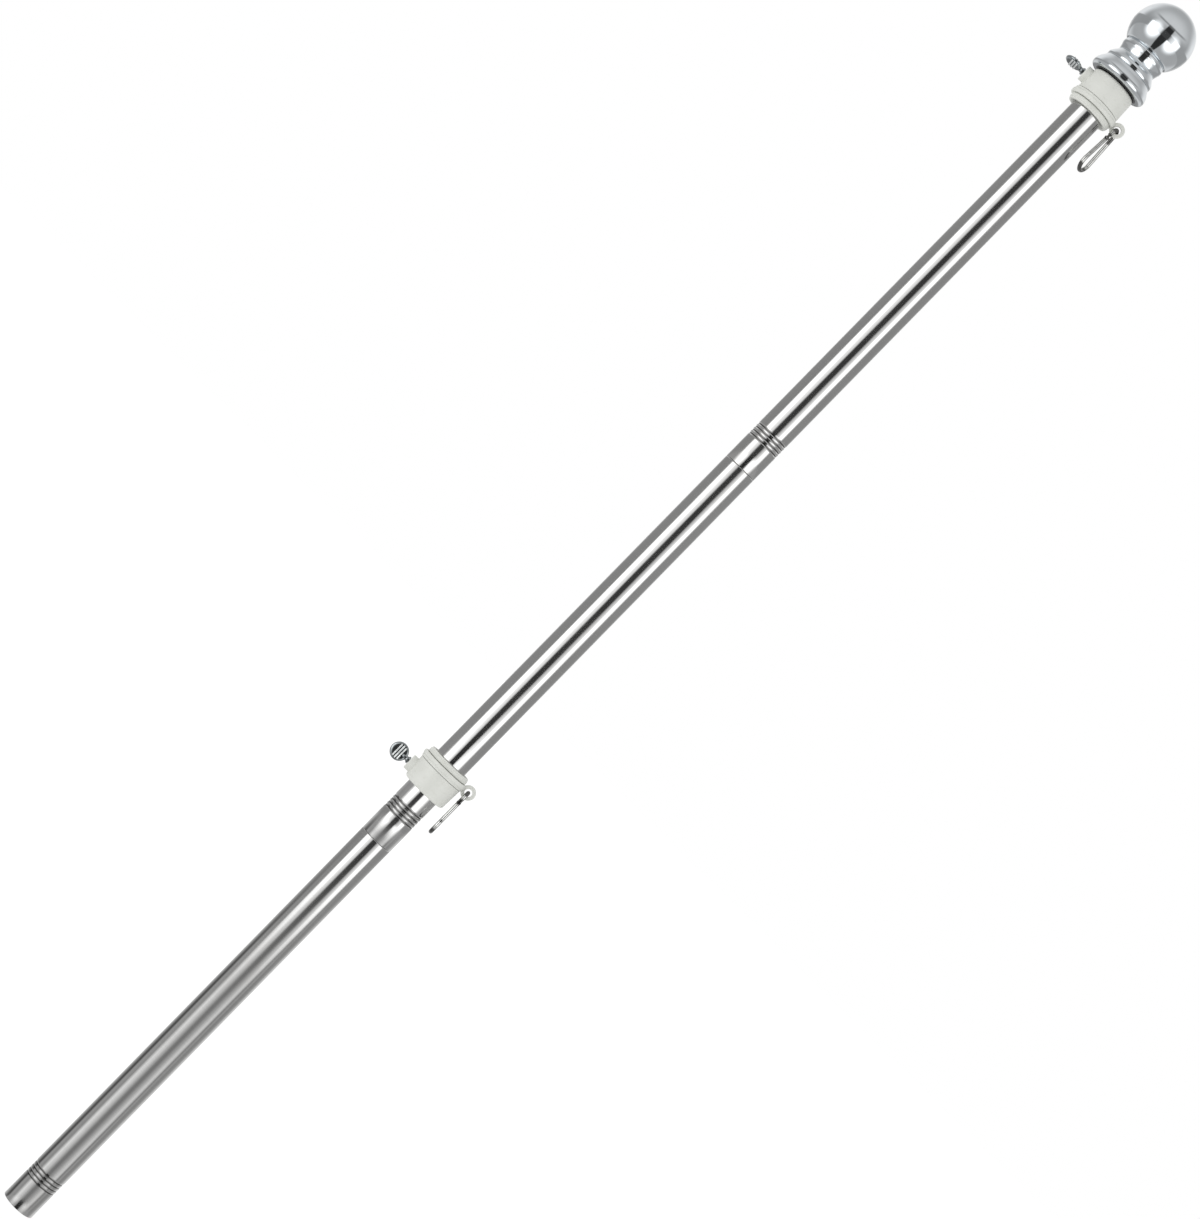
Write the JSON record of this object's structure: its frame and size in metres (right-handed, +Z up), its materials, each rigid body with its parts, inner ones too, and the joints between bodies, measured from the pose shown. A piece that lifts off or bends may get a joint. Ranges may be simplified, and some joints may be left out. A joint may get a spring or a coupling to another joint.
{
  "type": "sectional house flagpole",
  "caption": "Sectional stainless house flagpole of swaged tubes with rolled grooves, a chrome ball finial, and turning plastic ring collars with thumbscrews and snap clips for the flag.",
  "frame": {"origin": "centre of the butt's end face, on the pole's axis", "axes": "+Z up the pole to the ball, +X to the side where the snap clips hang, the thumbscrews on -X"},
  "size_m": [0.0663, 0.0474, 1.1514],
  "materials": {
    "stainless_tube": "polished stainless tube with a fine grain along its length",
    "chrome_finial": "bright chrome plate",
    "black_plug": "black moulded plastic",
    "white_collar": "off-white moulded plastic, satin",
    "nickel_steel": "nickel-plated steel, bright and slightly dark"
  },
  "bodies": {
    "pole": {"lower_tube": "stainless_tube", "middle_tube": "stainless_tube", "upper_tube": "stainless_tube", "finial_plug": "black_plug", "finial_base": "chrome_finial", "finial_ball": "chrome_finial"},
    "lower_collar_body": {"lower_collar": "white_collar", "lower_ring_cap": "white_collar"},
    "lower_ring_body": {"lower_ring": "white_collar"},
    "lower_clip_body": {"lower_clip": "nickel_steel"},
    "lower_gate_body": {"lower_clip_gate": "nickel_steel", "lower_clip_rivet": "nickel_steel"},
    "lower_screw_body": {"lower_thumbscrew": "nickel_steel"},
    "upper_collar_body": {"upper_collar": "white_collar", "upper_ring_cap": "white_collar"},
    "upper_ring_body": {"upper_ring": "white_collar"},
    "upper_clip_body": {"upper_clip": "nickel_steel"},
    "upper_gate_body": {"upper_clip_gate": "nickel_steel", "upper_clip_rivet": "nickel_steel"},
    "upper_screw_body": {"upper_thumbscrew": "nickel_steel"}
  },
  "joints": [
    {"name": "lower_collar_slide", "type": "slide", "parent": "pole", "child": "lower_collar_body", "axis": [0, 0, 1], "range_m": [-0.32, 0.58]},
    {"name": "lower_ring_turn", "type": "hinge", "parent": "lower_collar_body", "child": "lower_ring_body", "pos_m": [0, 0, 0.4205], "axis": [0, 0, 1], "range_deg": [-135, 135]},
    {"name": "lower_clip_swing", "type": "hinge", "parent": "lower_ring_body", "child": "lower_clip_body", "pos_m": [0.023, 0, 0.4205], "axis": [0, -1, 0], "range_deg": [-4, 150]},
    {"name": "lower_gate_swing", "type": "hinge", "parent": "lower_clip_body", "child": "lower_gate_body", "pos_m": [0.023, -0.00426, 0.41141], "axis": [1, 0, 0], "range_deg": [0, 22], "stiffness_Nm_per_rad": 0.01},
    {"name": "lower_screw_turn", "type": "hinge", "parent": "lower_collar_body", "child": "lower_screw_body", "pos_m": [-0.0312, 0, 0.4078], "axis": [-1, 0, 0], "range_deg": [0, 270]},
    {"name": "upper_collar_slide", "type": "slide", "parent": "pole", "child": "upper_collar_body", "axis": [0, 0, 1], "range_m": [-0.58, 0]},
    {"name": "upper_ring_turn", "type": "hinge", "parent": "upper_collar_body", "child": "upper_ring_body", "pos_m": [0, 0, 1.0604], "axis": [0, 0, 1], "continuous": true},
    {"name": "upper_clip_swing", "type": "hinge", "parent": "upper_ring_body", "child": "upper_clip_body", "pos_m": [0.023, 0, 1.0604], "axis": [0, 1, 0], "range_deg": [-150, 8]},
    {"name": "upper_gate_swing", "type": "hinge", "parent": "upper_clip_body", "child": "upper_gate_body", "pos_m": [0.02133, -0.00392, 1.05131], "axis": [0.9205, -0.3907, 0], "range_deg": [0, 22], "stiffness_Nm_per_rad": 0.01},
    {"name": "upper_screw_turn", "type": "hinge", "parent": "upper_collar_body", "child": "upper_screw_body", "pos_m": [-0.0312, 0, 1.0731], "axis": [-1, 0, 0], "range_deg": [0, 270]}
  ]
}
